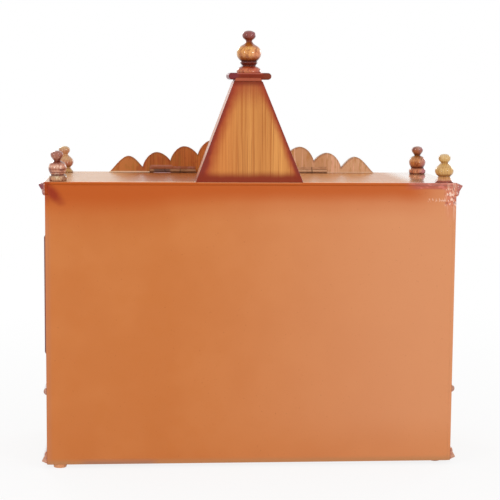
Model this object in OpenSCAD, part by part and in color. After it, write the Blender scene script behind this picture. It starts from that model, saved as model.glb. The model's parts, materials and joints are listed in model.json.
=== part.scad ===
// Wall-mounted pooja mandir: a lacquered board case with an open shrine at the front,
// a flat-backed spire, a scalloped crest that folds back on two hinges, and turned finials.
// Millimetres. The front faces -Y, the flat back faces +Y, and the feet stand on z = 0.

/* [Case] */
// Width over the two side boards
case_w = 594; // [520:1:720]
// Depth from the front edge of the sides to the back
case_d = 240; // [200:1:320]
// Height from the underside of the bottom board to the top surface
case_h = 412; // [340:1:560]
// Thickness of the side boards
side_t = 12; // [9:0.5:18]
// Thickness of the top board
top_t = 18; // [14:0.5:24]
// Thickness of the bottom board
bottom_t = 12; // [9:0.5:18]
// Thickness of the shrine's floor
deck_t = 12; // [9:0.5:18]
// Height of the middle of the shrine's floor over the case's underside
deck_mid = 108.5; // [70:0.5:140]
// Thickness of the back panel
back_t = 6; // [4:0.5:9]
// Width of the board edge left bare around the back panel
back_lip = 4.5; // [2:0.5:8]

/* [Mouldings] */
// Height of the crown moulding
mould_h = 19.5; // [16:0.5:24]
// How far the crown moulding stands out
mould_out = 8.5; // [6:0.5:12]
// Drop from a moulding's outer edge on the case to its nose
nose_drop = 3.5; // [2:0.1:5]
// Flat height of the moulding's nose
nose_flat = 1.5; // [1:0.1:3]
// How far the quarter-round under the moulding's slope stands out
round_out = 4.2; // [2:0.1:5]
// Height of the quarter-round that ends a moulding
round_h = 7.4; // [5:0.1:9]
// Height of the base moulding
base_h = 18; // [15:0.5:24]
// How far the base moulding stands out
base_out = 7.2; // [5:0.1:12]
// Height of the base moulding over the case's underside
base_lift = 1.7; // [0:0.1:8]
// Diameter of the half-round waist bead
waist_d = 10.8; // [8:0.2:16]
// How far the waist bead stands out
waist_out = 4; // [2.5:0.1:4.5]

/* [Raised side panels] */
// Thickness of a raised panel
raised_t = 5.5; // [3:0.5:8]
// Width of the bevel around a raised panel
raised_bevel = 4; // [2:0.5:8]
// Distance of a raised panel from the front and back edges of the side
raised_inset = 55; // [30:1:80]
// Thickness of a raised panel at its edges
raised_edge = 3; // [1:0.5:3]
// Distance from the waist bead up to a raised panel
raised_foot = 37.7; // [20:0.1:60]
// Distance from a raised panel up to the crown moulding
raised_head = 61.5; // [20:0.5:80]

/* [Shrine front] */
// Thickness of the boards of the front
front_t = 12; // [9:0.5:18]
// Width of each front post
post_w = 34; // [20:1:60]
// Depth of the arch board at its ends
arch_end = 62; // [45:1:90]
// Depth of the arch board at its middle lobe
arch_mid = 34; // [20:1:40]
// Number of lobes along the arch
arch_lobes = 9; // [5:2:13]
// Height of each lobe of the arch
arch_lobe_h = 12; // [6:1:20]

/* [Feet] */
// Height of the feet
foot_h = 6; // [4:0.5:12]
// Diameter of the feet
foot_d = 20.5; // [14:0.5:22]
// Distance of a foot's middle from the case's sides
foot_side = 18.5; // [14:0.5:40]
// Distance of a front foot's middle from the case's front
foot_end = 18; // [14:0.5:40]
// Distance of the left back foot's middle from the case's back
foot_back_left = 28; // [12:0.5:40]
// Distance of the right back foot's middle from the case's back
foot_back_right = 12; // [12:0.5:40]

/* [Crest] */
// Thickness of the crest board
crest_t = 12; // [9:0.5:15]
// Distance of the crest's face from the case's front edge
crest_set = 8; // [4:0.5:14]
// Clearance under the crest
crest_gap = 0.4; // [0.3:0.1:1]
// Half width of the middle lobe
lobe_mid_half = 27; // [20:0.5:32]
// Width of each of the lobes between the middle one and the end ones
lobe_w = 43.5; // [36:0.5:48]
// Width of the end lobes
lobe_end_w = 53.5; // [44:0.5:58]
// Height of the notch beside an end lobe
notch_low = 8.4; // [6:0.1:12]
// Rise from one notch to the next one inward
notch_rise = 9.4; // [6:0.1:11]
// Height of a lobe over the line between its notches
lobe_h = 18.8; // [12:0.2:22]
// Height of an end lobe over the line between its ends
lobe_end_h = 21; // [14:0.2:24]
// Height of the middle lobe over its notches
lobe_mid_h = 23; // [16:0.2:28]

/* [Hinges] */
// Length of each hinge
hinge_l = 72; // [60:1:90]
// Half the distance between the middles of the two hinges
hinge_x = 104.5; // [60:0.5:125]
// How far both hinges sit off the crest's middle, towards +X
hinge_shift = 6; // [-8:0.5:8]
// Diameter of the knuckles
knuckle_d = 5.6; // [5.2:0.1:7]
// Diameter of the pin
pin_d = 2.6; // [2:0.1:3]
// Thickness of the leaves
leaf_t = 1; // [0.8:0.1:1.4]
// Width of a leaf from the pin's middle to its edge
leaf_w = 7; // [5:0.5:12]
// Radial clearance of the pin in its knuckles
pin_play = 0.15; // [0.1:0.05:0.25]
// Gap between neighbouring knuckles
knuckle_gap = 0.4; // [0.3:0.1:0.8]
// Thickness of the pin's heads
pin_head_t = 0.8; // [0.5:0.1:1.5]

/* [Spire] */
// Width of the spire at its foot
spire_w = 155; // [110:1:190]
// Width of the spire at its top
spire_top_w = 41; // [36:1:56]
// Height of the spire's boards
spire_h = 144; // [110:1:190]
// Depth of the spire
spire_d = 52; // [44:1:72]
// Thickness of the spire's boards
spire_t = 6; // [4:0.5:8]
// How far the spire's foot stands off the middle of the top
spire_off = 4.7; // [0:0.1:10]
// How far the spire's top leans over from its foot
spire_skew = 3; // [0:0.1:6]
// How far the cap and its finial stand off the middle of the top
cap_off = 5.5; // [2:0.1:8]
// How far the collar under the cap lies in from the spire's front and sides
collar_in = 1; // [0.5:0.5:4]
// How far each end of the collar leans in to its top
collar_lean = 1.5; // [0:0.1:3]
// Height of the collar
collar_t = 5.4; // [4:0.2:8]
// Depth that the collar is let into the cap
cap_seat = 2.9; // [1:0.1:3.5]
// How far the cap reaches past the spire's front and sides
cap_out = 10; // [6:0.5:14]
// Thickness of the cap
cap_t = 9.8; // [6:0.2:14]

/* [Spire finial] */
// Diameter of the bun that the finial stands on
bun_d = 35.6; // [28:0.2:38]
// Height of the bun up to the waist
bun_h = 10.8; // [8:0.2:14]
// Diameter of the waist between bun and ring
ring_waist_d = 18.8; // [14:0.2:20]
// Height that the ring takes to widen from the waist
ring_taper_h = 3.8; // [2:0.2:6]
// Diameter of the ring under the ball
ring_d = 25.2; // [22:0.2:28]
// Thickness of the ring's rim
ring_t = 2.4; // [1.6:0.2:4]
// Diameter of the big ball
ball_d = 35.6; // [30:0.2:40]
// Height of the whole ball
ball_h = 27.4; // [22:0.2:32]
// How far the ball is seated in the ring
ball_seat = 3; // [1:0.2:5]
// Diameter of the neck over the ball
neck_d = 8.2; // [6:0.2:11]
// Height of the neck
neck_h = 5.4; // [3:0.2:8]
// Diameter of the knob
knob_d = 19.4; // [16:0.2:24]
// Height of the knob
knob_h = 13.6; // [10:0.2:18]

/* [Corner finials] */
// Distance of a corner finial's middle from the case's side
corner_side = 18.2; // [16:0.1:40]
// How much nearer its side the left back finial stands
pale_slip = 2.2; // [0:0.1:2.4]
// Distance of a back finial's middle from the case's back
corner_back = 15; // [14.5:0.5:40]
// Distance of a front finial's middle from the case's front
corner_front = 29; // [16:0.5:40]
// Diameter of the foot ring
foot_ring_d = 26.4; // [22:0.2:28]
// Height of the foot ring up to the waist
foot_ring_h = 9.6; // [6:0.2:11]
// Diameter of the waist between foot ring and ball
foot_waist_d = 20; // [14:0.2:21]
// Diameter of the ball
corner_ball_d = 26; // [22:0.2:28]
// Height of the whole ball
corner_ball_h = 22; // [18:0.2:27]
// How far the ball is seated in the foot ring
corner_ball_seat = 2.6; // [1:0.2:5]
// Diameter of the neck under the knob
corner_neck_d = 9.4; // [7:0.2:12]
// Height of the neck under the knob
corner_neck_h = 1.4; // [1:0.2:4]
// Diameter of the knob
corner_knob_d = 18; // [14:0.2:20]
// Height of the knob
corner_knob_h = 13.4; // [10:0.1:16]
// Height of the pear finials' flared foot
pear_foot_h = 8.8; // [6:0.2:11]
// Diameter of the waist between flared foot and pear
pear_waist_d = 18; // [14:0.2:20]
// Diameter of the pear at its widest
pear_d = 27; // [22:0.2:28]
// Height of the pear up to its neck
pear_h = 20; // [16:0.2:24]
// Diameter of the pear finials' neck
pear_neck_d = 10.8; // [8:0.2:12]
// Height of the pear finials' knob
pear_knob_h = 12.7; // [9:0.1:14]

/* [Hidden] */

// Finish colours
back_orange = [0.80, 0.47, 0.27];
lacquer = [0.79, 0.60, 0.42];
stain_red = [0.52, 0.22, 0.16];
veneer_gold = [0.82, 0.55, 0.30];
veneer_brown = [0.66, 0.36, 0.18];
turned_pink = [0.62, 0.36, 0.30];
turned_red = [0.60, 0.30, 0.20];
turned_pale = [0.84, 0.68, 0.44];
turned_gold = [0.76, 0.45, 0.22];
steel = [0.62, 0.62, 0.66];
pad_orange = [0.86, 0.56, 0.34];

// Fineness of round work
$fn = 64;
CURVE_STEPS = 10;
// Shape of a lobe as [skew, power] of its sine: a skew over 1 moves the crown on towards
// the lobe's end, and a power under 1 makes its sides rounder
LOBE_PLAIN = [1, 0.65];
LOBE_CREST = [0.83, 0.78];
LOBE_END = [1.15, 1.1];
// How far a moulding's quarter-round stands out where it ends
ROUND_EDGE = 0.8;
// How far a turned neck reaches into the rounds beside it
FLARE = 2;
// Upright edge of a flared foot
FOOT_EDGE = 1;
// Where a pear is widest, as a share of its height
PEAR_MID = 0.4;
// How far a pear finial's knob is let into its neck
KNOB_SEAT = 1.2;
// Where a knob is widest, as a share of its height
KNOB_MID = 0.58;
// Where a ball is widest, as a share of its height
BALL_MID = 0.53;
// Overshoot of a cut past the surface it opens
CUT = 1;

// The box round the whole part is centred on the origin
y_back = (case_d + mould_out) / 2;
y_front = y_back - case_d;
case_half = case_w / 2;
z_under = foot_h;
z_top = foot_h + case_h;
z_ceiling = z_top - top_t;
inner_w = case_w - 2 * side_t;
inner_d = case_d - back_t;
z_floor = z_under + bottom_t;
z_deck_low = z_under + deck_mid - deck_t / 2;
z_deck = z_deck_low + deck_t;
front_clear = inner_w - 2 * post_w;
z_raised = z_under + deck_mid + waist_d / 2 + raised_foot;
raised_h = z_top - mould_h - raised_head - z_raised;

// Crest and its hinges: the pin lies a knuckle's radius behind the crest and over the top
y_crest_back = y_front + crest_set + crest_t;
pin_y = y_crest_back + knuckle_d / 2;
pin_z = z_top + knuckle_d / 2;
notches = 4;
notch_x = [for (i = [0:notches - 1]) lobe_mid_half + i * lobe_w];
crest_half = notch_x[notches - 1] + lobe_end_w;
knuckle_l = (hinge_l - 2 * knuckle_gap) / 3;

// Spire
spire_y_mid = y_back - spire_d / 2;
z_spire_top = z_top + spire_h;
z_cap = z_spire_top + collar_t - cap_seat;
z_cap_top = z_cap + cap_t;
cap_w = spire_top_w + 2 * cap_out;
cap_d = spire_d + cap_out;
x_spire_top = spire_off + spire_skew;

// A board given by its low corner and its size
module board(corner, size) {
    translate(corner) cube(size);
}

module back_panel() {
    color(back_orange)
        board([-case_half + back_lip, y_back - back_t, z_under],
              [case_w - 2 * back_lip, back_t, case_h - back_lip]);
}

// A side board with the rebate that takes the back panel; side is -1 for left, 1 for right
module side_board(side) {
    color(lacquer) mirror([side < 0 ? 1 : 0, 0, 0])
        difference() {
            board([case_half - side_t, y_front, z_under], [side_t, case_d, case_h - top_t]);
            board([case_half - side_t - CUT, y_back - back_t, z_under - CUT],
                  [side_t - back_lip + CUT, back_t + CUT, case_h + 2 * CUT]);
        }
}

module top_board() {
    color(lacquer)
        difference() {
            board([-case_half, y_front, z_ceiling], [case_w, case_d, top_t]);
            board([-case_half + back_lip, y_back - back_t, z_ceiling - CUT],
                  [case_w - 2 * back_lip, back_t + CUT, top_t - back_lip + CUT]);
        }
}

module bottom_board() {
    color(veneer_brown)
        board([-inner_w / 2, y_front, z_under], [inner_w, inner_d, bottom_t]);
}

module shelf_deck() {
    color(veneer_brown)
        board([-inner_w / 2, y_front, z_deck_low], [inner_w, inner_d, deck_t]);
}

module base_front() {
    color(veneer_brown)
        board([-inner_w / 2, y_front, z_floor], [inner_w, front_t, z_deck_low - z_floor]);
}

module front_post(side) {
    color(veneer_brown)
        board([side < 0 ? -inner_w / 2 : inner_w / 2 - post_w, y_front, z_deck],
              [post_w, front_t, z_ceiling - z_deck]);
}

// Height of a lobe over its base line, from 0 to 1 across the lobe
function swell(u, shape) = pow(max(0, sin(180 * pow(u, shape[0]))), shape[1]);

// Points of one lobe between two notches, without the second notch
function lobe(a, b, h, shape) = [
    for (i = [0:CURVE_STEPS - 1])
        let (u = i / CURVE_STEPS)
        [a[0] + (b[0] - a[0]) * u, a[1] + (b[1] - a[1]) * u + h * swell(u, shape)]
];

// Depth of the arch board at a distance from its middle, before the lobes
function arch_depth(x) = arch_mid + arch_lobe_h
    + (arch_end - arch_mid - arch_lobe_h) * pow(abs(2 * x / front_clear), 2);

module front_arch() {
    step = front_clear / arch_lobes;
    edge = [
        for (i = [0:arch_lobes - 1])
            let (x0 = -front_clear / 2 + i * step, x1 = x0 + step)
            each lobe([x0, -arch_depth(x0)], [x1, -arch_depth(x1)], arch_lobe_h, LOBE_PLAIN)
    ];
    color(veneer_brown)
        translate([0, y_front + front_t, z_ceiling]) rotate([90, 0, 0])
            linear_extrude(front_t)
                polygon(concat([[front_clear / 2, 0], [-front_clear / 2, 0]], edge,
                               [[front_clear / 2, -arch_depth(front_clear / 2)]]));
}

// Moulding outline: x stands out from the case, y runs down from the top edge.
// A flat nose slopes in to a quarter-round.
module crown_outline() {
    round_top = mould_h - round_h;
    quarter = [
        for (i = [0:CURVE_STEPS])
            let (a = 90 * i / CURVE_STEPS)
            [ROUND_EDGE + (round_out - ROUND_EDGE) * cos(a), -round_top - round_h * sin(a)]
    ];
    polygon(concat([[0, 0], [mould_out, -nose_drop], [mould_out, -nose_drop - nose_flat]],
                   quarter, [[0, -mould_h]]));
}

// The crown's outline turned over and drawn in to the base moulding's size
module base_outline() {
    scale([base_out / mould_out, base_h / mould_h]) mirror([0, 1]) crown_outline();
}

// Half-round bead: a round whose middle lies inside the case face
module waist_outline() {
    intersection() {
        translate([waist_out - waist_d / 2, 0]) circle(d = waist_d);
        translate([0, -waist_d]) square([waist_d, 2 * waist_d]);
    }
}

// A strip along one side of the case, mitred at the front; children() is its outline
module side_strip(side, out, z) {
    mirror([side < 0 ? 1 : 0, 0, 0])
        intersection() {
            translate([case_half, y_back, z]) rotate([90, 0, 0])
                linear_extrude(case_d + out) children();
            translate([0, 0, -CUT])
                linear_extrude(z_top + 2 * CUT)
                    polygon([[case_half, y_back], [case_half, y_front],
                             [case_half + out, y_front - out], [case_half + out, y_back]]);
        }
}

// A strip along the front of the case, mitred at both ends
module front_strip(out, z) {
    intersection() {
        translate([-case_half - out, y_front, z]) rotate([90, 0, 90])
            linear_extrude(case_w + 2 * out) mirror([1, 0]) children();
        translate([0, 0, -CUT])
            linear_extrude(z_top + 2 * CUT)
                polygon([[-case_half, y_front], [case_half, y_front],
                         [case_half + out, y_front - out], [-case_half - out, y_front - out]]);
    }
}

module crown_side(side) {
    color(stain_red) side_strip(side, mould_out, z_top) crown_outline();
}

module crown_front() {
    color(stain_red) front_strip(mould_out, z_top) crown_outline();
}

module waist_side(side) {
    color(stain_red) side_strip(side, waist_out, z_under + deck_mid) waist_outline();
}

module waist_front() {
    color(stain_red) front_strip(waist_out, z_under + deck_mid) waist_outline();
}

module base_mould_side(side) {
    color(stain_red) side_strip(side, base_out, z_under + base_lift) base_outline();
}

module base_mould_front() {
    color(stain_red) front_strip(base_out, z_under + base_lift) base_outline();
}

// Bevelled slab on the outside of a side board
module raised_panel(side) {
    length = case_d - 2 * raised_inset;
    color(stain_red) mirror([side < 0 ? 1 : 0, 0, 0])
        translate([case_half, y_front + raised_inset, z_raised])
            intersection() {
                linear_extrude(raised_h) bevelled(length);
                translate([0, length, 0]) rotate([90, 0, 0]) linear_extrude(length) bevelled(raised_h);
            }
}

module bevelled(length) {
    polygon([[0, 0], [raised_edge, 0], [raised_t, raised_bevel],
             [raised_t, length - raised_bevel], [raised_edge, length], [0, length]]);
}

// side is -1 or 1; y is the place of the foot's middle
module foot(side, y) {
    color(pad_orange)
        translate([side * (case_half - foot_side), y, 0])
            cylinder(h = foot_h, d = foot_d);
}

// Turned work: children() is the half outline, x out from the axis
module turned() {
    rotate_extrude()
        intersection() {
            children();
            square([spire_w, spire_w]);
        }
}

// A foot on z = 0 that flares out from a waist at height h
module flared_foot(d, h, waist) {
    polygon(concat([[0, 0], [d / 2, 0]],
        [for (i = [0:CURVE_STEPS])
            let (a = 90 * i / CURVE_STEPS)
            [d / 2 - (d - waist) / 2 * sin(a), FOOT_EDGE + (h - FOOT_EDGE) * (1 - cos(a))]],
        [[0, h]]));
}

// A pear on z: a bowl under its widest level, and shoulders that draw in to the neck
module pear(d, h, waist, neck, z) {
    z_wide = z + h * PEAR_MID;
    shoulder = [for (i = [1:CURVE_STEPS])
        let (u = i / CURVE_STEPS)
        [neck / 2 + (d - neck) / 2 * (1 + cos(180 * u)) / 2, z_wide + (z + h - z_wide) * u]];
    bowl = [for (i = [0:CURVE_STEPS])
        let (a = -90 + 90 * i / CURVE_STEPS)
        [waist / 2 + (d - waist) / 2 * cos(a), z_wide + (z_wide - z) * sin(a)]];
    polygon(concat([[0, z]], bowl, shoulder, [[0, z + h]]));
}

// A ball or bud standing on z; mid is where it is widest, as a share of its height
module oval(d, h, z, mid) {
    translate([0, z + h * mid])
        polygon([for (i = [0:2 * CURVE_STEPS])
            let (a = -90 + 90 * i / CURVE_STEPS)
            [d / 2 * cos(a), h * (a < 0 ? mid : 1 - mid) * sin(a)]]);
}

// A domed foot on z = 0 that draws in to a waist at height h
module dome(d, h, waist) {
    rise = h / sqrt(1 - pow(waist / d, 2));
    polygon(concat([[0, 0]],
        [for (i = [0:CURVE_STEPS])
            let (a = 90 * i / CURVE_STEPS)
            [d / 2 * cos(a), rise * sin(a)]]));
}

// A neck between two rounds: it flares by a quarter round at each end
module neck(d, h, z) {
    translate([0, z - FLARE])
        polygon(concat([[0, 0]],
            [for (i = [0:2 * CURVE_STEPS])
                let (u = i / CURVE_STEPS - 1)
                [d / 2 + FLARE * u * u, (h + 2 * FLARE) * (u + 1) / 2]],
            [[0, h + 2 * FLARE]]));
}

// children() is the half outline of a finial that stands at one corner of the top;
// slip is how much nearer the case's side it stands
module at_corner(side, end, tint, slip = 0) {
    color(tint)
        translate([side * (case_half - corner_side + slip),
                   end < 0 ? y_front + corner_front : y_back - corner_back, z_top])
            turned() children();
}

module ringed_finial() {
    z_ball = foot_ring_h - corner_ball_seat;
    z_neck = z_ball + corner_ball_h;
    dome(foot_ring_d, foot_ring_h, foot_waist_d);
    oval(corner_ball_d, corner_ball_h, z_ball, BALL_MID);
    neck(corner_neck_d, corner_neck_h, z_neck);
    oval(corner_knob_d, corner_knob_h, z_neck + corner_neck_h, KNOB_MID);
}

module pear_finial() {
    z_neck = pear_foot_h + pear_h;
    flared_foot(foot_ring_d, pear_foot_h, pear_waist_d);
    pear(pear_d, pear_h, pear_waist_d, pear_neck_d, pear_foot_h);
    oval(corner_knob_d, pear_knob_h + KNOB_SEAT, z_neck - KNOB_SEAT, KNOB_MID);
}

// A ring on z that widens from the waist up to its rim
module tapered_ring(z) {
    z_rim = z + ring_taper_h;
    polygon([[0, z - FLARE], [ring_waist_d / 2, z - FLARE], [ring_waist_d / 2, z], [ring_d / 2, z_rim],
             [ring_d / 2, z_rim + ring_t], [0, z_rim + ring_t]]);
}

module spire_finial() {
    z_ball = bun_h + ring_taper_h + ring_t - ball_seat;
    z_neck = z_ball + ball_h;
    z_knob = z_neck + neck_h;
    color(turned_gold)
        translate([cap_off, spire_y_mid, z_cap_top])
            turned() {
                dome(bun_d, bun_h, ring_waist_d);
                tapered_ring(bun_h);
                oval(ball_d, ball_h, z_ball, BALL_MID);
                neck(neck_d, neck_h, z_neck);
                oval(knob_d, knob_h, z_knob, KNOB_MID);
            }
}

// Spire face: an upright board whose sides lean in to the top; y is the place of its back
module spire_face(y) {
    color(veneer_gold)
        translate([spire_off, y, z_top]) rotate([90, 0, 0])
            linear_extrude(spire_t)
                polygon([[-spire_w / 2, 0], [spire_w / 2, 0],
                         [spire_skew + spire_top_w / 2, spire_h], [spire_skew - spire_top_w / 2, spire_h]]);
}

// A leaning side board between the two faces; side is -1 for left, 1 for right
module spire_side(side) {
    head = spire_top_w / 2 + side * spire_skew;
    // Width that the leaning board takes along a level line
    level_t = spire_t * norm([spire_w / 2 - head, spire_h]) / spire_h;
    color(veneer_gold)
        translate([spire_off, y_back - spire_t, z_top]) mirror([side < 0 ? 1 : 0, 0, 0])
            rotate([90, 0, 0])
                linear_extrude(spire_d - 2 * spire_t)
                    polygon([[spire_w / 2 - level_t, 0], [spire_w / 2, 0],
                             [head, spire_h], [head - level_t, spire_h]]);
}

// The collar's end view, standing on the spire's boards
module collar_outline() {
    low = spire_top_w / 2 - collar_in;
    polygon([[-low, 0], [low, 0], [low - collar_lean, collar_t], [collar_lean - low, collar_t]]);
}

// The collar's shape, flush with the spire's back; past is how far it runs on behind
module collar_shape(past) {
    translate([x_spire_top, y_back + past, z_spire_top]) rotate([90, 0, 0])
        linear_extrude(spire_d - collar_in + past) collar_outline();
}

module spire_collar() {
    color(stain_red) collar_shape(0);
}

// A bar's outline with both ends rounded, centred
module round_ended(w, h) {
    square([w - h, h], center = true);
    for (side = [-1, 1])
        translate([side * (w - h) / 2, 0]) circle(d = h);
}

// Cap with a round edge all the way round, its back flush with the spire's back,
// and a recess under it that takes the collar
module spire_cap() {
    color(stain_red)
        difference() {
            translate([cap_off, y_back - cap_d / 2, z_cap + cap_t / 2])
                intersection() {
                    rotate([90, 0, 0]) linear_extrude(cap_d, center = true) round_ended(cap_w, cap_t);
                    rotate([90, 0, 90]) linear_extrude(cap_w, center = true) round_ended(cap_d, cap_t);
                }
            collar_shape(CUT);
        }
}

// Half of the crest's scalloped edge, from the end inward to the middle notch
function crest_edge() = [
    for (i = [notches:-1:1])
        let (a = i == notches ? [crest_half, 0] : [notch_x[i], notch_z(i)],
             b = [notch_x[i - 1], notch_z(i - 1)])
        each lobe(a, b, i == notches ? lobe_end_h : lobe_h, i == notches ? LOBE_END : LOBE_CREST)
];

// Height of a notch, counted from the middle outward
function notch_z(i) = notch_low + (notches - 1 - i) * notch_rise;

function flipped(points) = [for (i = [len(points) - 1:-1:0]) [-points[i][0], points[i][1]]];

module crest_board() {
    half = crest_edge();
    middle = lobe([notch_x[0], notch_z(0)], [-notch_x[0], notch_z(0)], lobe_mid_h, LOBE_PLAIN);
    color(veneer_brown)
        translate([0, y_crest_back, z_top + crest_gap]) rotate([90, 0, 0])
            linear_extrude(crest_t)
                polygon(concat(half, middle, [[-notch_x[0], notch_z(0)]], flipped(half)));
}

// One length of knuckle, bored for the pin; x0 is its start from the hinge's middle
module knuckle(x0) {
    translate([x0, 0, 0]) rotate([0, 90, 0])
        difference() {
            cylinder(h = knuckle_l, d = knuckle_d);
            translate([0, 0, -CUT]) cylinder(h = knuckle_l + 2 * CUT, d = pin_d + 2 * pin_play);
        }
}

// Cut that keeps a leaf's sheet out of the pin's way
module pin_way() {
    translate([-hinge_l, 0, 0]) rotate([0, 90, 0]) cylinder(h = 2 * hinge_l, d = pin_d + 2 * pin_play);
}

module at_hinge(side) {
    translate([hinge_shift + side * hinge_x, pin_y, pin_z]) children();
}

// The moving leaf stands against the crest's back and turns on the middle knuckle
module hinge_leaf(side) {
    color(steel) at_hinge(side)
        difference() {
            union() {
                knuckle(-knuckle_l / 2);
                board([-hinge_l / 2, -knuckle_d / 2, knuckle_d / 2 + knuckle_gap],
                      [hinge_l, leaf_t, leaf_w - knuckle_d / 2 - knuckle_gap]);
                board([-knuckle_l / 2, -knuckle_d / 2, 0],
                      [knuckle_l, leaf_t, knuckle_d / 2 + knuckle_gap]);
            }
            pin_way();
        }
}

// The fixed plate lies on the top board and carries the two outer knuckles
module hinge_plate(side) {
    color(steel) at_hinge(side)
        difference() {
            union() {
                for (x0 = [-hinge_l / 2, hinge_l / 2 - knuckle_l]) {
                    knuckle(x0);
                    board([x0, 0, -knuckle_d / 2], [knuckle_l, knuckle_d / 2 + knuckle_gap, leaf_t]);
                }
                board([-hinge_l / 2, knuckle_d / 2 + knuckle_gap, -knuckle_d / 2],
                      [hinge_l, leaf_w - knuckle_d / 2 - knuckle_gap, leaf_t]);
            }
            pin_way();
        }
}

module hinge_pin(side) {
    head_d = pin_d + 2 * pin_play + leaf_t;
    color(steel) at_hinge(side) rotate([0, 90, 0]) {
        cylinder(h = hinge_l, d = pin_d, center = true);
        for (s = [-1, 1])
            translate([0, 0, s * (hinge_l + pin_head_t) / 2])
                cylinder(h = pin_head_t, d = head_d, center = true);
    }
}

back_panel();
side_board(-1);  // side_left
side_board(1);  // side_right
top_board();
bottom_board();
shelf_deck();
base_front();
front_post(-1);  // post_left
front_post(1);  // post_right
front_arch();
crown_side(-1);  // crown_left
crown_side(1);  // crown_right
crown_front();
waist_side(-1);  // waist_left
waist_side(1);  // waist_right
waist_front();
base_mould_side(-1);  // base_mould_left
base_mould_side(1);  // base_mould_right
base_mould_front();
raised_panel(-1);  // raised_panel_left
raised_panel(1);  // raised_panel_right
foot(-1, y_front + foot_end);  // foot_front_left
foot(1, y_front + foot_end);  // foot_front_right
foot(-1, y_back - foot_back_left);
foot(1, y_back - foot_back_right);
at_corner(-1, -1, turned_red) ringed_finial();  // finial_front_left
at_corner(1, -1, turned_pink) pear_finial();  // finial_front_right
at_corner(-1, 1, turned_pale, pale_slip) pear_finial();  // finial_back_left
at_corner(1, 1, turned_pink) ringed_finial();  // finial_back_right
spire_face(y_back);  // spire_back
spire_face(y_back - spire_d + spire_t);  // spire_front
spire_side(-1);  // spire_left
spire_side(1);  // spire_right
spire_collar();
spire_cap();
spire_finial();
crest_board();
hinge_leaf(-1);  // hinge_leaf_left
hinge_leaf(1);  // hinge_leaf_right
hinge_plate(-1);  // hinge_plate_left
hinge_plate(1);  // hinge_plate_right
hinge_pin(-1);  // hinge_pin_left
hinge_pin(1);  // hinge_pin_right
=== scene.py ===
import json
from math import asin, atan, cos, pi, radians, sin

import bmesh
import bpy
from mathutils import Euler, Matrix, Vector


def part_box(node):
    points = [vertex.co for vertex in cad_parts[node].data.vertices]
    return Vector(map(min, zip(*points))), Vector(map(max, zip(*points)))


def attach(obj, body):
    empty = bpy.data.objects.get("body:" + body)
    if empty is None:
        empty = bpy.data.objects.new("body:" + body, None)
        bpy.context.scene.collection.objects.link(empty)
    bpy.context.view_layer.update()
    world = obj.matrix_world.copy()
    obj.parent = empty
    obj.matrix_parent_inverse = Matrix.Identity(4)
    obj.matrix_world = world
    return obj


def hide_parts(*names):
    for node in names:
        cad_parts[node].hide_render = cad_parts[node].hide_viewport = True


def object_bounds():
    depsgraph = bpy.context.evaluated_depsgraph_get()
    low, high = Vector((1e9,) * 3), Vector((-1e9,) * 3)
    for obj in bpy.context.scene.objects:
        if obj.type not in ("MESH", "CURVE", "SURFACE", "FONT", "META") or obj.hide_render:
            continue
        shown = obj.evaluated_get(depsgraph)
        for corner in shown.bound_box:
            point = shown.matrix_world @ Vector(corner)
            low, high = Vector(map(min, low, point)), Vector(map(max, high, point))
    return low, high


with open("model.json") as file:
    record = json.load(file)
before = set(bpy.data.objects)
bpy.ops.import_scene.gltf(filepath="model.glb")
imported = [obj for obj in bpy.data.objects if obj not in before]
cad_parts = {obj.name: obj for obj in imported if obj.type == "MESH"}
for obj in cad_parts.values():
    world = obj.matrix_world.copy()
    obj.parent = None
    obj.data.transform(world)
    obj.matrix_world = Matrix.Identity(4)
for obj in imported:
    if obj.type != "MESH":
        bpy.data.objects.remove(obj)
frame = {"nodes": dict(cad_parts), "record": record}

MM = 0.001
CAD_LOW, CAD_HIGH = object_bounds()
RECORD = frame["record"]
BODY_OF = {node: body for body, nodes in RECORD["behaviour"]["bodies"].items() for node in nodes}
SIDES = ("left", "right")


# Camera and lamps

SENSOR_WIDTH = 36
CAMERA_LENS = 104.53
CAMERA_PLACE = (0.1619, 2.2005, 0.5624)
# In degrees
CAMERA_TURN = (83.368, 0, 175.639)
CAMERA_ROLL = 0.475
# Place, size and power of each lamp
LAMPS = {"key_lamp": ((-1.4, 2.1, 0.95), 0.4, 12.5), "fill_lamp": ((1.7, 1.8, 0.9), 0.32, 7),
         "front_lamp": ((0.9, -2.2, 1.3), 0.6, 13), "front_fill": ((-1.6, -1.8, 0.9), 0.5, 7)}


def put(name, data):
    """A new object in the scene."""
    made = bpy.data.objects.new(name, data)
    bpy.context.scene.collection.objects.link(made)
    return made


def make_camera():
    camera = put("camera", bpy.data.cameras.new("camera"))
    camera.data.sensor_width = SENSOR_WIDTH
    camera.data.lens = CAMERA_LENS
    aim = Euler([radians(turn) for turn in CAMERA_TURN]).to_matrix().to_4x4()
    roll = Matrix.Rotation(radians(CAMERA_ROLL), 4, "Z")
    camera.matrix_world = Matrix.Translation(CAMERA_PLACE) @ aim @ roll
    bpy.context.scene.camera = camera


def make_lamps():
    """Square area lamps that face the middle of the part."""
    for name, (place, size, power) in LAMPS.items():
        lamp = bpy.data.lights.new(name, "AREA")
        lamp.size = size
        lamp.energy = power
        direction = (CAD_LOW + CAD_HIGH) / 2 - Vector(place)
        aim = direction.to_track_quat("-Z", "Y").to_matrix().to_4x4()
        put(name, lamp).matrix_world = Matrix.Translation(place) @ aim


# Node materials

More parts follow.
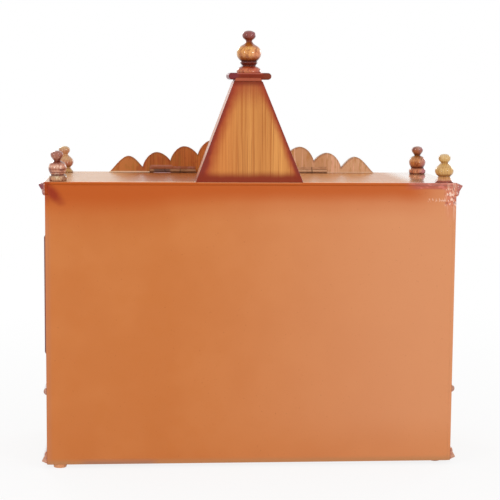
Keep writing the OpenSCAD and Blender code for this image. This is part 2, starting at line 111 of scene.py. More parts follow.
class Value:
    """A socket that varies over a surface. Arithmetic on it adds Math nodes."""

    def __init__(self, tree, socket):
        self.tree = tree
        self.socket = socket

    def __add__(self, other):
        return self.tree.math("ADD", self, other)

    def __sub__(self, other):
        return self.tree.math("SUBTRACT", self, other)

    def __rsub__(self, other):
        return self.tree.math("SUBTRACT", other, self)

    def __mul__(self, other):
        return self.tree.math("MULTIPLY", self, other)

    def __truediv__(self, other):
        return self.tree.math("DIVIDE", self, other)

    def __abs__(self):
        return self.tree.math("ABSOLUTE", self)

    __radd__ = __add__
    __rmul__ = __mul__

    def beside(self, name):
        """Another output of the same node."""
        return Value(self.tree, pick(self.socket.node.outputs, name))


def pick(sockets, key):
    """A socket by its place, or by its name among those in use."""
    if isinstance(key, int):
        return sockets[key]
    return next(socket for socket in sockets if socket.name == key and socket.enabled)


class Tree:
    """A node tree; its methods add nodes and give back their outputs."""

    def __init__(self, tree):
        self.nodes = tree.nodes
        self.links = tree.links

    def feed(self, socket, value):
        if isinstance(value, Value):
            self.links.new(value.socket, socket)
        elif socket.type == "RGBA" and len(value) == 3:
            socket.default_value = (*value, 1)
        else:
            socket.default_value = value

    def node(self, kind, settings=None, inputs=None, out=0):
        """Any shader node: its settings first, then the values or links of its sockets."""
        made = self.nodes.new("ShaderNode" + kind)
        for key, value in (settings or {}).items():
            if key == "stops":
                set_stops(made.color_ramp, value)
            else:
                setattr(made, key, value)
        for key, value in (inputs or {}).items():
            self.feed(pick(made.inputs, key), value)
        return Value(self, pick(made.outputs, out))

    def math(self, operation, *values):
        return self.node("Math", {"operation": operation}, dict(enumerate(values)))

    def fold(self, operation, first, *others):
        """One value from several, by a Math operation on two at a time."""
        for other in others:
            first = self.math(operation, first, other)
        return first

    def least(self, *values):
        return self.fold("MINIMUM", *values)

    def most(self, *values):
        return self.fold("MAXIMUM", *values)

    def views(self):
        """Whether the camera looks straight at a place, by a mirror or through glass."""
        path = self.node("LightPath", out="Is Camera Ray")
        return path, path.beside("Is Glossy Ray"), path.beside("Is Transmission Ray")

    def blend(self, share, first, second, output):
        """Sends a blend of a shader node and another shader to the tree's output node."""
        inputs = {0: share, 1: Value(self, first.outputs[0]), 2: second}
        mixed = self.node("MixShader", {}, inputs)
        self.links.new(mixed.socket, self.nodes[output].inputs["Surface"])


class Finish(Tree):
    """A material round one Principled shader; `place` is a point of the part in metres."""

    def __init__(self, name, **constants):
        self.material = bpy.data.materials.new(name)
        self.material.use_nodes = True
        super().__init__(self.material.node_tree)
        self.shader = self.nodes["Principled BSDF"]
        for key, value in constants.items():
            self.set(key.replace("_", " "), value)
        self.place = self.node("TexCoord", out="Object")
        self.x = self.node("SeparateXYZ", {}, {"Vector": self.place}, "X")
        self.y = self.x.beside("Y")
        self.z = self.x.beside("Z")

    def set(self, name, value):
        self.feed(self.shader.inputs[name], value)

    def step(self, value, low, high):
        """0 at low, 1 at high and smooth between them; low may lie above high."""
        inputs = {"Value": value, "From Min": low, "From Max": high}
        return self.node("MapRange", {"interpolation_type": "SMOOTHSTEP"}, inputs)

    def fade(self, value, low, high, origin=0):
        """A step of a length, with low and high in millimetres from origin."""
        return self.step(value, origin + low * MM, origin + high * MM)

    def band(self, value, low, high, soft, origin=0):
        """1 between low and high, falling to 0 over soft on both sides; all in mm from origin."""
        return self.fade(value, low - soft, low, origin) * self.fade(value, high + soft, high, origin)

    def cloud(self, size, stretch=(1, 1, 1), detail=2, rough=0.5, shift=0):
        """Noise with features about `size` mm across, drawn out by stretch, from about 0.3 to 0.7."""
        scale = tuple(1 / (size * MM * s) for s in stretch)
        at = self.node("VectorMath", {"operation": "MULTIPLY"}, {0: self.place, 1: scale})
        if shift:
            at = self.node("VectorMath", {"operation": "ADD"}, {0: at, 1: (shift, shift, shift)})
        inputs = {"Vector": at, "Scale": 1, "Detail": detail, "Roughness": rough}
        return self.node("TexNoise", {}, inputs)

    def spots(self, low, high, *size, **kind):
        """Spots where a cloud is above high; they fade out towards low."""
        return self.step(self.cloud(*size, **kind), low, high)

    def jitter(self, reach, *size, **kind):
        """A value that wanders with a cloud, at most half of reach to either side of 0."""
        return (self.cloud(*size, **kind) - 0.5) * reach

    def mix(self, share, low, high, way="MIX"):
        """A colour between low and high."""
        settings = {"data_type": "RGBA", "blend_type": way, "clamp_factor": True}
        return self.node("Mix", settings, {"Factor": share, "A": low, "B": high}, "Result")

    def layers(self, colour, *layers, way="MIX"):
        """A colour under layers of (share, colour) or (share, red, green, blue), each laid over the last."""
        for share, *shade in layers:
            colour = self.mix(share, colour, tone(*shade) if len(shade) == 3 else shade[0], way)
        return colour

    def ramp(self, value, *stops):
        """A colour that follows value through stops of (place, red, green, blue)."""
        stops = [(place, tone(*shade)) for place, *shade in stops]
        return self.node("ValToRGB", {"stops": stops}, {"Fac": value}, "Color")

    def done(self, colour, *reliefs):
        """The material with its colour, and its relief from pairs of (height value, depth in mm)."""
        self.set("Base Color", colour)
        normal = {}
        for height, depth in reliefs:
            inputs = {"Height": height, "Distance": depth * MM, **normal}
            normal = {"Normal": self.node("Bump", {}, inputs, "Normal")}
        self.set("Normal", normal["Normal"])
        return self.material


def set_stops(ramp, stops):
    while len(ramp.elements) < len(stops):
        ramp.elements.new(1)
    for element, (place, colour) in zip(ramp.elements, stops):
        element.position = place
        element.color = (*colour, 1)


def tone(red, green, blue):
    """A colour from 0 to 255 values, as linear light."""
    shares = [value / 255 for value in (red, green, blue)]
    return tuple(s / 12.92 if s <= 0.04045 else ((s + 0.055) / 1.055) ** 2.4 for s in shares)


# Finishes

STAIN_DARK = tone(84, 24, 12)
STAIN_RED = tone(140, 44, 22)
LINE_BROWN = tone(170, 88, 32)
GOLD = tone(208, 134, 62)
# Colour of the painted highlight on the top's rear arris
ARRIS_HIGHLIGHT = tone(255, 184, 136)
# How far a stain's edge wanders, as a share of its width
RAGGED = 0.22
SPIRE_STAINS = {"stain": tone(160, 52, 28), "rim": tone(132, 48, 34)}
LACQUER = {"Roughness": 0.28, "Specular_IOR_Level": 0.25}
# How far in front of the rear face the spray of the back begins and is full
SPRAYED_EDGE = (2.4 * MM, 0.9 * MM)
# Weights of the distances from the spire's -X and +X slopes, signed inward; more narrows the stain
SLOPE_WEIGHTS = (1.4, -0.87)


def spray_ground(coat, low, high, cloud, drift):
    """The orange of the back: a painted sheen makes it paler towards -X and upwards; it is deeper along the
    top and dusty along the foot.
    """
    x, rise = coat.x, coat.z - low.z
    # Painted sheen: the back is paler towards -X and higher up, where its lacquer would catch the light
    paler = coat.step(x, 150 * MM, low.x) * (0.6 + coat.fade(rise, 10, 80) * 0.4)
    longer = coat.fade(x, -20, 230) * 0.38
    fall = (high.z - coat.z) * (1 - longer) + (cloud - 0.5) * (8 * MM)
    top_band = coat.fade(fall, 30, 7) * 0.6 + coat.fade(fall, 54, 18) * 0.4
    faded = coat.fade(x, 10, 70, low.x)
    dusty = coat.band(x, 150, 236, 20)
    dust = coat.mix(dusty, tone(190, 132, 86), tone(172, 124, 98))
    return coat.layers(
        tone(204, 120, 60), (coat.step(cloud, 0.35, 0.65) * 0.6, 210, 128, 68),
        (coat.step(drift, 0.45, 0.7) * 0.2, 202, 116, 52), (paler * 0.75, 220, 150, 106),
        (top_band * (0.25 + faded * 0.75) * 0.9, 190, 86, 22), (coat.fade(rise, 10, 1) * 0.9, dust))


def overspray(coat, high, drift):
    """Where dark stain drifted over the back's upper +X corner and down its rim."""
    x, z = coat.x, coat.z
    along = (high.x - x + high.z - z) * 0.7 - 13 * MM
    across = (high.x - x - high.z + z) * 0.7 + 3.5 * MM
    spread = coat.math("SQRT", along * along * 0.3 + across * across) + (drift - 0.5) * (12 * MM)
    edge_mist = coat.fade(high.x - x + (drift - 0.5) * (4 * MM), 7, 0) * coat.fade(z, -34, -8, high.z)
    return coat.most(coat.fade(spread, 13, 3), edge_mist * 0.7)


def scuffs(coat, low, high, drift):
    """The layers of the worn upper -X corner of the back, and its chips alone."""
    x, z = coat.x, coat.z
    smudge = coat.fade(x, 75, 50, low.x) * coat.fade(high.z - z + (drift - 0.5) * (5 * MM), 7, 3)
    rubs = coat.spots(0.52, 0.64, 5, (3, 1, 1), shift=33)
    rim_bar = coat.fade(x, 14, 6, low.x) * coat.fade(z, -62, -24, high.z)
    corner = coat.fade(x, 16, 7, low.x) * coat.band(z, -26, -5, 6, high.z)
    row = coat.band(x, 8, 34, 6, low.x) * coat.band(z, -22, -19, 2, high.z)
    chips = coat.spots(0.54, 0.6, 2.6, (1, 1, 1.6), shift=9) * coat.most(corner, row * 0.5)
    drips = coat.spots(0.56, 0.64, 2.2, (1, 1, 9), 1, shift=9) * rim_bar
    bruise = coat.spots(0.54, 0.62, 2.6, (1, 1, 1.6), shift=21) * corner
    layers = ((smudge * 0.75, 176, 84, 74), (smudge * rubs * 0.6, 226, 132, 116),
              (coat.most(corner * 0.6, rim_bar * 0.3), 214, 124, 104), (chips * 0.85, 252, 216, 196),
              (drips * 0.5, 240, 190, 160), (bruise * 0.7, 146, 60, 56))
    return layers, chips


def sprayed(coat):
    """Orange lacquer of the back: its colour, its slow drift and its chipped spots."""
    low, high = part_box("back_panel")
    cloud = coat.cloud(90)
    drift = coat.cloud(26, shift=4)
    worn, chips = scuffs(coat, low, high, drift)
    rim_fade = coat.fade(high.x - coat.x, 5, 0) * coat.fade(coat.z, -30, -60, high.z)
    flecks = coat.spots(0.74, 0.8, 2.2, detail=1, shift=17)
    colour = coat.layers(
        spray_ground(coat, low, high, cloud, drift), (overspray(coat, high, drift) * 0.85, 146, 38, 16),
        *worn, (rim_fade * 0.2, 186, 128, 108), (flecks * 0.35, 150, 70, 34))
    return colour, cloud, chips


def back_paint():
    """The sprayed back panel, with the faint orange peel of its lacquer."""
    coat = Finish("back_paint", Specular_IOR_Level=0.2)
    colour, cloud, chips = sprayed(coat)
    coat.set("Roughness", 0.32 + cloud * 0.1 + chips * 0.25)
    peel = coat.cloud(1.8, detail=1)
    return coat.done(colour, (peel, 0.02), (cloud, 0.25), (chips, -0.05))


def drawn(axis, length):
    """The stretch of a cloud that is drawn out along one axis."""
    return tuple(length if name == axis else 1 for name in "xyz")


def grain(coat, axis, ground, line, shift=0):
    """Straight fine veneer: the colour, and a relief value that is high on the open grain."""
    long = drawn(axis, 90)
    fine = coat.spots(0.46, 0.62, 0.9, long, 2, 0.6, shift + 1)
    lines = coat.spots(0.54, 0.66, 2.4, long, 1, 0.5, shift + 5)
    bands = coat.spots(0.4, 0.66, 9, long, 2, 0.5, shift + 8)
    drift = coat.spots(0.4, 0.7, 60, long, 1, 0.5, shift + 3)
    shares = (fine * 0.28, lines * 0.6, bands * 0.35, drift * 0.25)
    return coat.layers(ground, *((share, line) for share in shares)), fine * 0.4 + lines * 0.6


def to_edges(coat, low, high, axes):
    """Distance to the nearest edge of a board's box, seen along the axis that isn't in axes."""
    gaps = []
    for axis in axes:
        here = getattr(coat, axis)
        gaps += [here - getattr(low, axis), getattr(high, axis) - here]
    return coat.least(*gaps)


def sunburst(coat, colour, distance, width, strength=0.9, shift=0, stain=STAIN_RED, rim=STAIN_DARK):
    """Stain sprayed along an edge: red first, and darkest at the very rim."""
    reach = distance + coat.jitter(width * RAGGED, 9, shift=shift + 11)
    return coat.layers(
        colour, (coat.step(reach, width, 0) * strength, stain),
        (coat.step(reach, 0.35 * width, 0) * strength, rim))


def lacquered(coat, colour, relief, shift):
    """The case's veneer done: a little relief on its open grain, and slow waves in the lacquer."""
    return coat.done(colour, (relief, -0.03), (coat.cloud(30, shift=shift), 0.1))


def veneer(node, axes, axis, width, shift):
    """Lacquered veneer on a plain board with a sunburst along its edges."""
    coat = Finish(node + "_veneer", **LACQUER)
    colour, relief = grain(coat, axis, GOLD, LINE_BROWN, shift)
    colour = sunburst(coat, colour, to_edges(coat, *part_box(node), axes), width, shift=shift)
    return lacquered(coat, colour, relief, shift)


def top_lacquer():
    """Pale glossy lacquer on the top, redder at the front, its rear edge sprayed and given a painted
    highlight; painted reflections make it paler towards both ends and deeper orange between 50 and 150 mm
    along +X.
    """
    low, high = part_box("top_board")
    spire_low, spire_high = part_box("spire_back")
    coat = Finish("top_lacquer", Roughness=0.26, Specular_IOR_Level=0.12, Coat_Roughness=0.07)
    x, behind, depth = coat.x, high.y - coat.y, high.z - coat.z
    colour, relief = grain(coat, "x", tone(222, 156, 100), tone(204, 130, 76), 1)
    front = sunburst(coat, colour, coat.y - low.y, 16 * MM, 0.7)
    colour = coat.mix(coat.fade(depth, 3, 1), front, colour)
    # More coat at the -X end; the same mask also paints a pale glare over the colour there
    gloss_and_painted_glare = coat.fade(x, 80, 42, low.x)
    coat.set("Coat Weight", gloss_and_painted_glare)
    # Painted highlight along the rear arris, stronger beside the spire; under the spire a fainter painted
    # highlight on the lip
    arris_highlight = coat.fade(behind, 0.1, 0.5) * coat.fade(behind, 18, 6) * coat.fade(depth, 0.5, 0.25)
    beside = coat.most(coat.fade(x, -4, 0, spire_high.x), coat.fade(x, 4, 0, spire_low.x))
    highlight_tone = coat.mix(coat.fade(x, 110, 60, low.x), ARRIS_HIGHLIGHT, tone(236, 170, 150))
    lip = coat.fade(behind, 2.4, 1.6) * coat.fade(depth, 1.6, 0.6)
    colour = coat.layers(
        # Painted reflections: deeper orange where the top mirrors the crest, paler towards +X, and a pale
        # glare at the -X end
        colour, (coat.band(x, 50, 150, 60) * 0.8, 174, 88, 28),
        (coat.fade(x, 150, 230) * 0.5, 236, 196, 156), (gloss_and_painted_glare * 0.35, 240, 204, 170),
        (coat.step(behind, *SPRAYED_EDGE), sprayed(coat)[0]),
        (arris_highlight * (0.35 + beside * 0.6), highlight_tone), (lip * (1 - beside) * 0.5, ARRIS_HIGHLIGHT))
    return lacquered(coat, colour, relief, 1)


def side_lacquer(side):
    """Lacquered veneer on a side board, stained along its edges, its rear edge sprayed."""
    node = "side_" + side
    low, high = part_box(node)
    coat = Finish(node + "_lacquer", **LACQUER)
    colour, relief = grain(coat, "z", tone(204, 132, 78), tone(172, 96, 46), 4)
    colour = sunburst(coat, colour, to_edges(coat, low, high, "yz"), 20 * MM, shift=4)
    colour = coat.mix(coat.step(high.y - coat.y, *SPRAYED_EDGE), colour, sprayed(coat)[0])
    return lacquered(coat, colour, relief, 4)


def spire_edges():
    """The slopes of the spire's back board as (x at the foot, drift per metre up), -X first."""
    low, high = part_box("spire_back")
    points = [v.co for v in frame["nodes"]["spire_back"].data.vertices]
    heads = [p.x for p in points if p.z > high.z - MM]
    feet = [p.x for p in points if p.z < low.z + MM]
    rise = high.z - low.z
    return [(foot, (head - foot) / rise) for foot, head in ((min(feet), min(heads)), (max(feet), max(heads)))]


def spire_done(coat, colour, relief):
    """The spire's veneer done: open grain under waves of lacquer."""
    return coat.done(colour, (relief, -0.05), (coat.cloud(24), 0.15))


def spire_face_veneer():
    """Golden veneer on the two trapezoid boards, stained along the slopes, the foot and the head."""
    low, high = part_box("spire_back")
    coat = Finish("spire_face_veneer", Roughness=0.3, Specular_IOR_Level=0.2)
    x, rise, head = coat.x, coat.z - low.z, high.z - coat.z
    middle = (low.x + high.x) / 2
    colour, relief = grain(coat, "z", tone(226, 156, 84), tone(174, 96, 38), 2)
    hairline = coat.spots(0.58, 0.64, 1.1, (1, 1, 120), 1, shift=31)
    warmer = coat.fade(x, 4, 40, middle)
    colour = coat.layers(colour, (hairline * 0.45, 150, 82, 36), (warmer * 0.6, 208, 122, 58))
    slopes = [(x - foot - rise * drift) * (weight * cos(atan(drift)))
              for weight, (foot, drift) in zip(SLOPE_WEIGHTS, spire_edges())]
    nearest = coat.least(*slopes) - coat.fade(rise, 70, 0) * (4 * MM)
    foot_rise = rise + coat.jitter(4 * MM, 20)
    colour = coat.layers(
        sunburst(coat, colour, nearest, 18 * MM, 0.96, **SPIRE_STAINS),
        (coat.fade(foot_rise, 18.5, 5.5) * 0.97, 134, 42, 16),
        (coat.fade(head, 44, 0) * 0.68, 160, 62, 36),
        (coat.fade(head, 9, 1) * 0.8, 118, 36, 14))
    return spire_done(coat, colour, relief)


def spire_side_veneer():
    """The same veneer on the leaning side boards, with a painted highlight along their rear corners."""
    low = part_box("spire_front")[0]
    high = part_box("spire_back")[1]
    coat = Finish("spire_side_veneer", Roughness=0.3, Specular_IOR_Level=0.3)
    colour, relief = grain(coat, "z", tone(218, 142, 84), tone(184, 100, 52), 6)
    colour = coat.layers(
        sunburst(coat, colour, coat.y - low.y, 12 * MM, **SPIRE_STAINS),
        (coat.fade(coat.z - low.z, 16, 5) * 0.6, 150, 60, 36),
        (coat.fade(high.z - coat.z, 40, 0) * 0.5, 160, 76, 50),
        # Painted highlight, pale along the rear corner
        (coat.fade(high.y - coat.y, 16, 4) * 0.75, 246, 190, 168))
    return spire_done(coat, colour, relief)


def scallop_veneer(name, ground, line, shift, rim_share, *patches):
    """Upright veneer on a scalloped board; the mesh says how far each point is from the scallops.

    patches are (x in mm where it is absent, where it is full, share, red, green, blue)."""
    coat = Finish(name, Roughness=0.3, Specular_IOR_Level=0.2)
    colour, relief = grain(coat, "z", ground, line, shift)
    patches = [(coat.fade(coat.x, absent, full) * share, *shade) for absent, full, share, *shade in patches]
    rim = coat.node("Attribute", {"attribute_name": "rim"}, out="Fac")
    ragged = rim + coat.jitter(2.4 * MM, 4, shift=3)
    colour = coat.layers(
        colour, *patches, (coat.fade(ragged, 4, 0.8) * rim_share, 128, 58, 34),
        (coat.fade(ragged, 1.4, 0) * rim_share, STAIN_DARK))
    return coat, colour, (relief, -0.04)


def crest_veneer():
    """The crest's veneer: orange and red-brown on one side, pale and streaked on the other, with a painted
    highlight along its foot.
    """
    low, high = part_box("crest_board")
    coat, colour, relief = scallop_veneer(
        "crest_veneer", tone(208, 122, 60), tone(158, 80, 32), 3, 0.35,
        (144, 166, 0.85, 220, 144, 80), (30, -50, 0.85, 218, 170, 126), (-125, -150, 0.7, 236, 192, 150))
    x, rise = coat.x, coat.z - low.z
    pale_side = coat.fade(x, 20, -30)
    streaks = coat.spots(0.58, 0.66, 2, (1, 1, 60), 1, shift=12)
    olive = coat.spots(0.5, 0.64, 6, (1, 1, 4), 3, 0.6, 25)
    reds = coat.spots(0.52, 0.68, 9, (1, 1, 2), shift=41)
    wash = coat.band(x, 114, 142, 5) * coat.band(rise, 8, 10, 2.5)
    hinge_low, hinge_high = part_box("hinge_plate_left")[0].x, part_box("hinge_plate_right")[1].x
    beyond_hinge = coat.most(coat.fade(x, 1, -1, hinge_low), coat.fade(x, -1, 1, hinge_high))
    # Painted highlight: a pale line along the rear face's foot, beyond the hinges
    foot_highlight = coat.band(rise, 0, 1.6, 0.6) * beyond_hinge
    foot_highlight = foot_highlight * coat.fade(high.y - coat.y, 1, 0.4)
    colour = coat.layers(
        colour, (streaks * pale_side * 0.7, 250, 200, 168),
        (olive * 0.5, 190, 130, 56), (reds * (1 - pale_side) * 0.4, 176, 72, 40),
        (wash * 0.55, 214, 160, 150), (foot_highlight * (1 - pale_side * 0.6), 255, 226, 190))
    return coat.done(colour, relief)


def arch_veneer():
    coat, colour, relief = scallop_veneer("arch_veneer", GOLD, LINE_BROWN, 12, 0.6)
    return coat.done(colour, relief)


def red_stain(name, axis, **gloss):
    """Dark red stain on moulded strips, a little worn along them: the coat, its colour and reliefs."""
    coat = Finish(name, Roughness=0.3, Specular_IOR_Level=0.25, **gloss)
    wide = {"x": (3, 1, 0.6), "y": (1, 3, 0.6), "z": (0.6, 0.6, 4)}[axis]
    streak = coat.cloud(4, drawn(axis, 24), 3, 0.6)
    fine = coat.cloud(0.9, drawn(axis, 24), shift=6)
    colour = coat.layers(
        tone(104, 30, 18), (coat.step(streak, 0.35, 0.65), 148, 54, 34),
        (coat.step(fine, 0.52, 0.68) * 0.3, 80, 22, 14),
        (coat.spots(0.5, 0.7, 30, wide, shift=2) * 0.4, 120, 52, 54),
        (coat.spots(0.54, 0.72, 20, wide, shift=12) * 0.25, 182, 100, 72))
    return coat, colour, ((streak, 0.05), (fine, 0.02))


def strip_stain():
    coat, colour, reliefs = red_stain("red_stain", "x")
    return coat.done(colour, *reliefs)


def raised_stain():
    """The stain on the raised side panels, a little darker round their bevels."""
    coat, colour, reliefs = red_stain("raised_stain", "z")
    bevel = coat.fade(to_edges(coat, *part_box("raised_panel_left"), "yz"), 7, 2)
    return coat.done(coat.mix(bevel * 0.5, colour, tone(92, 26, 16)), *reliefs)


def side_strip_stain(side):
    """The stain on the side mouldings, whose rear ends caught the spray of the back."""
    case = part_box("top_board")[1].x
    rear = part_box("back_panel")[1].y
    bead_low, bead_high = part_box("waist_" + side)
    coat, colour, reliefs = red_stain("side_strip_stain_" + side, "y", Coat_Weight=1, Coat_Roughness=0.1)
    off_bead = abs(coat.z - (bead_low.z + bead_high.z) / 2)
    high_up = coat.fade(coat.z, 200, 300)
    crown_end, pale = (tone(126, 46, 56), 0.25) if side == "right" else (tone(172, 86, 76), 0.7)
    spray = coat.fade(abs(coat.x) - case, 3, 0.5) * coat.fade(off_bead, 8, 14)
    mottle = coat.spots(0.52, 0.62, 3, detail=3, rough=0.6, shift=9)
    end = coat.layers(
        tone(196, 136, 104), (high_up, crown_end),
        (spray * 0.7, 196, 116, 82), (coat.fade(off_bead, 14, 8), 180, 128, 106),
        (mottle * (high_up * pale + 0.15), 248, 210, 190),
        (coat.spots(0.54, 0.66, 3, shift=27) * 0.5, 136, 64, 66))
    return coat.done(coat.mix(coat.fade(rear - coat.y, 1.4, 0.6), colour, end), *reliefs)


def cap_stain():
    """Smooth dark stain on the cap, browner at one end, with a painted highlight along its top."""
    low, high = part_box("spire_cap")
    middle = (low.x + high.x) / 2
    coat = Finish("cap_stain", Roughness=0.3, Specular_IOR_Level=0.12)
    x = coat.x
    # Painted highlight along the middle of the cap's top rear edge
    bright = coat.fade(abs(x - middle), 20, 17) * coat.fade(high.y - coat.y, 8, 3)
    bright = bright * coat.fade(coat.z, -2.6, -1, high.z)
    cloud = coat.cloud(14, (1, 1, 0.5))
    colour = coat.layers(
        tone(118, 38, 18), (cloud, 134, 48, 26),
        (coat.fade(x, 12, 20, middle) * 0.8, 124, 52, 58),
        (coat.fade(x, -14, -24, middle) * 0.6, 128, 66, 46),
        (bright * 0.8, 196, 104, 84))
    return coat.done(colour, (coat.cloud(6, (6, 1, 1)), 0.04))


def collar_stain():
    """Lighter smooth stain on the collar, dark along the joint with the spire."""
    coat = Finish("collar_stain", Roughness=0.3, Specular_IOR_Level=0.12)
    rise = coat.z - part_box("spire_collar")[0].z
    cloud = coat.cloud(10, (2, 1, 1))
    colour = coat.layers(
        tone(160, 76, 52), (cloud, 178, 92, 66),
        (coat.fade(rise, 1.6, 0.4) * 0.8, 124, 50, 30),
        (coat.fade(rise, 3.6, 5.2) * 0.6, 140, 62, 40))
    return coat.done(colour, (coat.cloud(6, (6, 1, 1)), 0.03))


# Width of a year ring in turned wood, and how far off its axis the rings are centred
YEAR_RING = 3.2 * MM
PITH = (9 * MM, 4 * MM)


def turned_finish(name, node, *stops, side=None, light=(1.2, 1.6, 1.7), dark=(0.6, 0.42, 0.4), shift=0):
    """Stain that changes up a turned piece, clouded with paler and darker wood, under glossy lacquer.

    light and dark multiply the stain; side is what multiplies it on the piece's -X half."""
    low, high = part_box(node)
    centre_x, centre_y = (low.x + high.x) / 2, (low.y + high.y) / 2
    coat = Finish(name, Roughness=0.3, Specular_IOR_Level=0.2, Coat_Weight=0.5, Coat_Roughness=0.05)
    rise = (coat.z - low.z) / (high.z - low.z)
    colour = coat.ramp(rise + coat.jitter(0.04, 7), *stops)
    if side:
        ragged = coat.x + coat.jitter(10 * MM, 8, shift=shift)
        share = coat.fade(ragged, 2, -9, centre_x)
        colour = coat.mix(share, colour, side, "MULTIPLY")
    sap = coat.spots(0.5, 0.6, 9, (1, 1, 1.4), shift=shift + 2)
    heart = coat.spots(0.52, 0.62, 7, (1, 1, 1.4), 3, 0.6, shift + 15)
    off_x = coat.x - (centre_x + PITH[0])
    off_y = coat.y - (centre_y + PITH[1])
    radius = coat.math("SQRT", off_x * off_x + off_y * off_y)
    rings = coat.math("SINE", radius * (2 * pi / YEAR_RING) + coat.cloud(16, (1, 1, 3)) * 9)
    fibre = coat.spots(0.5, 0.66, 0.8, (1, 1, 14), 2, 0.6)
    colour = coat.layers(
        colour, (sap * 0.8, light), (heart * 0.8, dark),
        (coat.step(rings, -0.4, 1) * 0.2, 150, 84, 40),
        (fibre * 0.16, 90, 44, 24), way="MULTIPLY")
    return coat.done(colour, (coat.cloud(3, (4, 4, 1)), 0.05))


def hinge_steel():
    """Steel that was lacquered over with the boards, brushed along the hinge; painted light makes the -X
    hinge paler, shades part of the +X hinge dark, and lays a shadow along the foot, with a highlight line
    under the shaded part.
    """
    coat = Finish("hinge_steel", Metallic=0.3, Specular_IOR_Level=0.4)
    x = coat.x
    brushed = coat.cloud(0.5, (40, 1, 1), 3, 0.6)
    blotch = coat.spots(0.5, 0.64, 7, (2, 1, 1), 3, 0.6)
    off_seam = []
    for side in SIDES:
        low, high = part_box("hinge_plate_" + side)
        off_seam += [abs(x - (low.x + (high.x - low.x) * share / 3)) for share in (1, 2)]
    over_pin = coat.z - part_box("hinge_pin_right")[1].z
    lacquer = coat.fade(x, 60, 70) * coat.fade(over_pin, 0.5, 1.5)
    # Painted shade: part of the +X hinge's knuckles, below the leaf, darkened
    knuckle_shade = coat.band(x, 116, 138, 4) * coat.fade(over_pin, 1.5, 0.5)
    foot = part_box("hinge_plate_left")[0].z
    # Painted shadow along the hinge's foot, with a painted lavender highlight line where the knuckle shade is
    foot_shadow_and_glint = coat.fade(coat.z, 1.6, 0.8, foot)
    colour = coat.layers(
        tone(150, 98, 62), (brushed, 190, 132, 90),
        # Painted light: the -X hinge is paler
        (coat.fade(x, 0, -60) * 0.75, 214, 164, 124),
        (blotch * 0.4, 140, 90, 46),
        (coat.fade(coat.least(*off_seam), 1.6, 0.5) * 0.6, 104, 62, 34),
        (lacquer * 0.8, coat.mix(blotch, tone(176, 96, 60), tone(196, 130, 112))),
        (knuckle_shade * 0.75, 74, 44, 44),
        (foot_shadow_and_glint * 0.85, coat.mix(knuckle_shade, tone(84, 40, 14), tone(206, 170, 170))))
    coat.set("Roughness", 0.3 + blotch * 0.25)
    return coat.done(colour, (brushed, 0.02), (blotch, 0.03))


def foot_paint():
    """Feet brushed with the lacquer, worn paler in spots."""
    coat = Finish("foot_paint", Specular_IOR_Level=0.3)
    worn = coat.spots(0.5, 0.66, 3, detail=4, rough=0.6)
    colour = coat.layers(tone(222, 140, 90), (coat.cloud(8), 238, 176, 126), (worn * 0.5, 244, 204, 168))
    coat.set("Roughness", 0.45 + worn * 0.25)
    return coat.done(colour, (worn, -0.08), (coat.cloud(1.5), 0.05))


# Making of pieces

# Rounding of a board's edge, of a strip's and of thin wood's
EASE = 0.8 * MM
STRIP_EASE = 0.5 * MM
THIN_EASE = 0.3 * MM
# How near to a board an edge lies against it, and how near points are taken as one
TOUCH = 0.1 * MM
WELD = 0.01 * MM
# Angles in degrees from which an edge is shaded sharp or, if it is flatter, taken out
CREASE = 32
TURNED_CREASE = 50
FLAT = 1


def dressed(name, bm, material, *nodes, crease=CREASE):
    """A finished piece that stands for CAD nodes: it rides on their body, and they are hidden."""
    bmesh.ops.recalc_face_normals(bm, faces=bm.faces)
    mesh = bpy.data.meshes.new(name)
    bm.to_mesh(mesh)
    bm.free()
    mesh.shade_smooth()
    mesh.set_sharp_from_angle(angle=radians(crease))
    mesh.materials.append(material)
    piece = put(name, mesh)
    piece.modifiers.new("even_shading", "WEIGHTED_NORMAL").keep_sharp = True
    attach(piece, BODY_OF[nodes[0]])
    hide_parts(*nodes)


def meets(edge, node):
    """Whether an edge lies against a node's box."""
    low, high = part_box(node)
    return all(low[i] - TOUCH < vertex.co[i] < high[i] + TOUCH for vertex in edge.verts for i in range(3))


def eased(node, material, radius=EASE, turns=3, against=("back_panel",)):
    """The node's own shape with its outer edges rounded over, but for those against other nodes."""
    bm = bmesh.new()
    bm.from_mesh(frame["nodes"][node].data)
    bmesh.ops.remove_doubles(bm, verts=bm.verts, dist=WELD)
    bmesh.ops.dissolve_limit(bm, angle_limit=radians(FLAT), verts=bm.verts, edges=bm.edges)
    sharp = radians(CREASE)
    outer = [e for e in bm.edges if e.is_manifold and e.is_convex and e.calc_face_angle() > sharp]
    outer = [e for e in outer if not any(meets(e, other) for other in against if other != node)]
    bmesh.ops.bevel(bm, geom=outer, offset=radius, segments=turns, profile=0.5, affect="EDGES",
                    clamp_overlap=True)
    dressed(node + "_made", bm, material, node)


def arc(centre, radii, start, end, steps=10):
    """Points (radius, height) of part of an ellipse, its angles in degrees from straight out."""
    angles = [radians(start + (end - start) * i / steps) for i in range(steps + 1)]
    return [(centre[0] + radii[0] * cos(a), centre[1] + radii[1] * sin(a)) for a in angles]


def revolve(bm, outline, place=Matrix.Identity(4), steps=72, closed=False):
    """Sweeps an outline of (radius, height) points round the Z axis of place."""
    rings = []
    for radius, height in outline:
        count = steps if radius > 1e-7 else 1
        turns = [2 * pi * i / count for i in range(count)]
        rings.append([bm.verts.new(place @ Vector((radius * cos(a), radius * sin(a), height)))
                      for a in turns])
    pairs = list(zip(rings, rings[1:]))
    if closed:
        pairs.append((rings[-1], rings[0]))
    for lower, upper in pairs:
        for i in range(steps):
            corners = [lower[i % len(lower)], lower[(i + 1) % steps % len(lower)],
                       upper[(i + 1) % steps % len(upper)], upper[i % len(upper)]]
            corners = list(dict.fromkeys(corners))
            if len(corners) > 2:
                bm.faces.new(corners)


